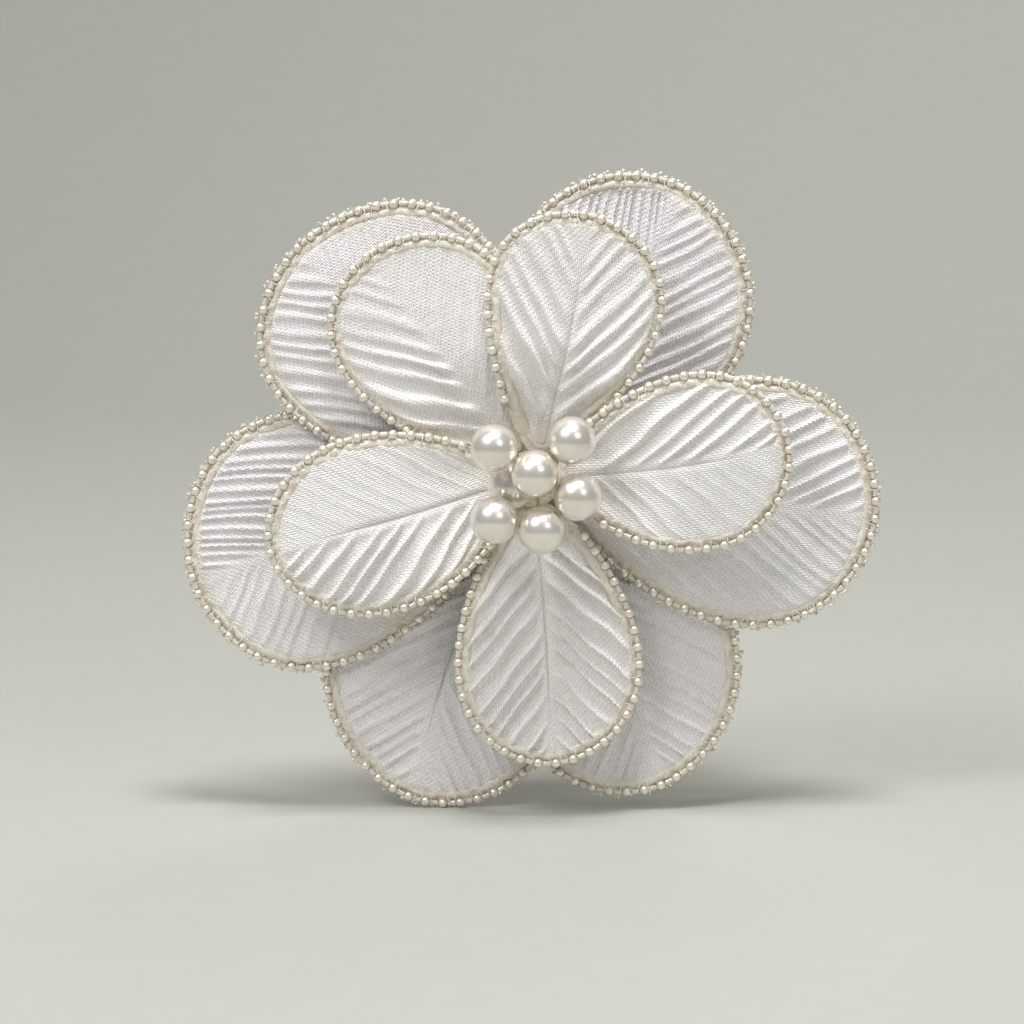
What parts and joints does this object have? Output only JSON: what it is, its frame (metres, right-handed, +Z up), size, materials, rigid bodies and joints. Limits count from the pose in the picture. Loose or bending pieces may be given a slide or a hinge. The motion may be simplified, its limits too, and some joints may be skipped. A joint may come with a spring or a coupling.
{
  "type": "hair clip",
  "caption": "Layered satin flower with ribbed petals, pearl and glass beaded edges and a pearl centre, mounted on a sprung alligator hair clip.",
  "frame": {"origin": "on the flower's axis, in the plane where the clip's jaws close", "axes": "+Z up as the flower is worn, the flower faces -Y, +X to the right of someone who looks at it"},
  "size_m": [0.1175, 0.0414, 0.1093],
  "materials": {
    "satin": "white satin weave over stiffening, with pressed ribs",
    "binding": "cream folded binding",
    "pearl": "ivory pearlescent coating",
    "clear_glass": "clear glass tube beads, faintly warm",
    "bead_wire": "fine drawn wire",
    "floral_tape": "crepe paper tape, wound",
    "buckram": "stiffened open weave",
    "felt": "white pressed felt",
    "clip_steel": "nickel plated sheet steel",
    "spring_steel": "bright spring wire"
  },
  "bodies": {
    "flower": {"back_petal_1": "satin", "back_petal_2": "satin", "back_petal_3": "satin", "back_petal_4": "satin", "back_petal_5": "satin", "back_petal_6": "satin", "back_binding_1": "binding", "back_binding_2": "binding", "back_binding_3": "binding", "back_binding_4": "binding", "back_binding_5": "binding", "back_binding_6": "binding", "back_pearls_1": "pearl", "back_pearls_2": "pearl", "back_pearls_3": "pearl", "back_pearls_4": "pearl", "back_pearls_5": "pearl", "back_pearls_6": "pearl", "back_glass_1": "clear_glass", "back_glass_2": "clear_glass", "back_glass_3": "clear_glass", "back_glass_4": "clear_glass", "back_glass_5": "clear_glass", "back_glass_6": "clear_glass", "front_petal_1": "satin", "front_petal_2": "satin", "front_petal_3": "satin", "front_petal_4": "satin", "front_petal_5": "satin", "front_binding_1": "binding", "front_binding_2": "binding", "front_binding_3": "binding", "front_binding_4": "binding", "front_binding_5": "binding", "front_pearls_1": "pearl", "front_pearls_2": "pearl", "front_pearls_3": "pearl", "front_pearls_4": "pearl", "front_pearls_5": "pearl", "front_glass_1": "clear_glass", "front_glass_2": "clear_glass", "front_glass_3": "clear_glass", "front_glass_4": "clear_glass", "front_glass_5": "clear_glass", "back_bead_wires": "bead_wire", "front_bead_wires": "bead_wire", "centre_pearls": "pearl", "pearl_stems": "bead_wire", "stem_bundle": "floral_tape", "base_disc": "buckram", "felt_cover": "felt", "clip_upper_arm": "clip_steel", "clip_hinge_pin": "clip_steel", "clip_spring": "spring_steel"},
    "lower_jaw": {"clip_lower_arm": "clip_steel"}
  },
  "joints": [
    {"name": "jaw_hinge", "type": "hinge", "parent": "flower", "child": "lower_jaw", "pos_m": [0.021, 0.003, 0], "axis": [0, 0, -1], "range_deg": [0, 38], "stiffness_Nm_per_rad": 0.12, "springref_deg": -34.38, "deforming": ["clip_spring"]}
  ]
}
